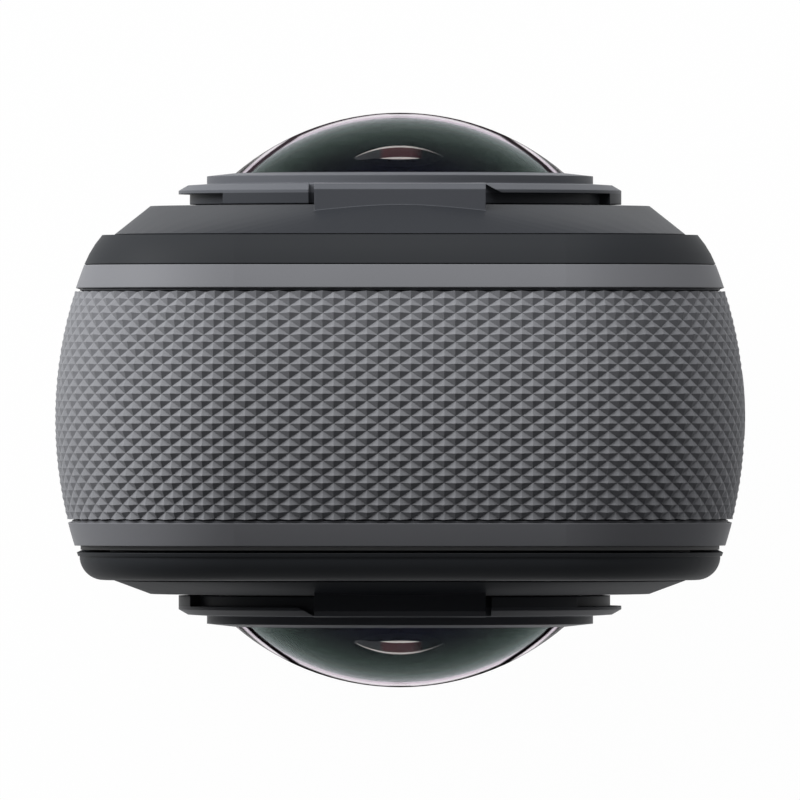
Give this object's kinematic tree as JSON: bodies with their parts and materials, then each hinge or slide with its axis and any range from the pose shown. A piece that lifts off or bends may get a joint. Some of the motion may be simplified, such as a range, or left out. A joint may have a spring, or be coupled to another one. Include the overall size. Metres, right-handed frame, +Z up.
{
  "type": "360 degree camera",
  "caption": "Slim upright camera with a domed fisheye lens on each face, a knurled grip band, twist-off lens guards, a rear touch display, press buttons, a hinged port door and battery latches.",
  "frame": {"origin": "middle of the base, on the plane it stands on", "axes": "+Z up; the front lens looks along -Y and the rear lens and display along +Y; the battery side is +X and the button side -X"},
  "size_m": [0.0464, 0.0386, 0.124],
  "materials": {
    "frame_paint": "satin graphite paint on a die-cast frame",
    "grip": "diamond knurl moulded in matte plastic",
    "shell": "fine matte charcoal",
    "bezel": "fine matte charcoal",
    "guard": "dark anodised, satin",
    "clear_dome": "clear with a green and pink coating",
    "lens_glass": "coated optical glass",
    "black_metal": "black anodised",
    "seal_black": "matte rubber",
    "seal_orange": "matte silicone rubber",
    "rib_rubber": "matte rubber",
    "display_glass": "gloss black cover glass",
    "display": "dark display panel",
    "board": "green circuit board",
    "chip": "dark moulded case",
    "copper": "bare copper",
    "steel": "bare steel",
    "inner_plastic": "dark glass-filled plastic",
    "button": "satin grey",
    "shutter": "satin red",
    "latch": "matte orange",
    "light": "frosted light guide"
  },
  "bodies": {
    "camera": {"middle_frame": "frame_paint", "top_grip": "grip", "left_grip": "grip", "right_grip": "grip", "front_shell": "shell", "rear_shell": "shell", "front_gasket": "seal_black", "rear_gasket": "seal_black", "front_bezel": "bezel", "rear_bezel": "bezel", "rib_panel": "rib_rubber", "display_glass": "display_glass", "display_panel": "display", "front_lens_barrel": "black_metal", "rear_lens_barrel": "black_metal", "front_lens": "lens_glass", "rear_lens": "lens_glass", "front_inner_lenses": "lens_glass", "rear_inner_lenses": "lens_glass", "front_lens_retainer": "black_metal", "rear_lens_retainer": "black_metal", "front_guard_seal": "seal_black", "rear_guard_seal": "seal_black", "image_sensors": "chip", "front_sensor_board": "board", "rear_sensor_board": "board", "heat_spreader": "copper", "main_board": "board", "processor": "chip", "board_screws": "steel", "memory_card_slot": "steel", "memory_card": "chip", "battery_pack": "chip", "battery_cover": "grip", "battery_seal": "seal_orange", "port_tray": "inner_plastic", "charging_socket": "steel", "port_door_pin": "steel", "side_board": "board", "key_board": "board", "switches": "steel", "speaker": "chip", "microphones": "copper", "status_lights": "light", "base_plate": "shell", "base_screws": "steel", "tripod_insert": "steel"},
    "front_guard": {"front_guard_ring": "guard", "front_guard_dome": "clear_dome"},
    "rear_guard": {"rear_guard_ring": "guard", "rear_guard_dome": "clear_dome"},
    "port_door": {"port_door": "grip", "port_door_seal": "seal_orange"},
    "power_button": {"power_button": "button"},
    "quick_button": {"quick_button": "button"},
    "shutter_button": {"shutter_button": "shutter"},
    "lens_button": {"lens_button": "button"},
    "upper_latch": {"upper_latch": "latch"},
    "lower_latch": {"lower_latch": "latch"}
  },
  "joints": [
    {"name": "front_guard_twist", "type": "hinge", "parent": "camera", "child": "front_guard", "pos_m": [0, 0, 0.101], "axis": [0, -1, 0], "range_deg": [0, 24]},
    {"name": "rear_guard_twist", "type": "hinge", "parent": "camera", "child": "rear_guard", "pos_m": [0, 0, 0.101], "axis": [0, 1, 0], "range_deg": [0, 24]},
    {"name": "port_door_hinge", "type": "hinge", "parent": "camera", "child": "port_door", "pos_m": [-0.02195, 0.00035, 0.0294], "axis": [0, -1, 0], "range_deg": [0, 90]},
    {"name": "power_press", "type": "slide", "parent": "camera", "child": "power_button", "axis": [1, 0, 0], "range_m": [0, 0.0004], "stiffness_N_per_m": 2500},
    {"name": "quick_press", "type": "slide", "parent": "camera", "child": "quick_button", "axis": [1, 0, 0], "range_m": [0, 0.0004], "stiffness_N_per_m": 2500},
    {"name": "shutter_press", "type": "slide", "parent": "camera", "child": "shutter_button", "axis": [0, -1, 0], "range_m": [0, 0.00045], "stiffness_N_per_m": 2500},
    {"name": "lens_press", "type": "slide", "parent": "camera", "child": "lens_button", "axis": [0, -1, 0], "range_m": [0, 0.00045], "stiffness_N_per_m": 2500},
    {"name": "upper_latch_slide", "type": "slide", "parent": "camera", "child": "upper_latch", "axis": [0, 0, -1], "range_m": [0, 0.0017], "stiffness_N_per_m": 400},
    {"name": "lower_latch_slide", "type": "slide", "parent": "camera", "child": "lower_latch", "axis": [0, 0, 1], "range_m": [0, 0.0017], "stiffness_N_per_m": 400}
  ]
}
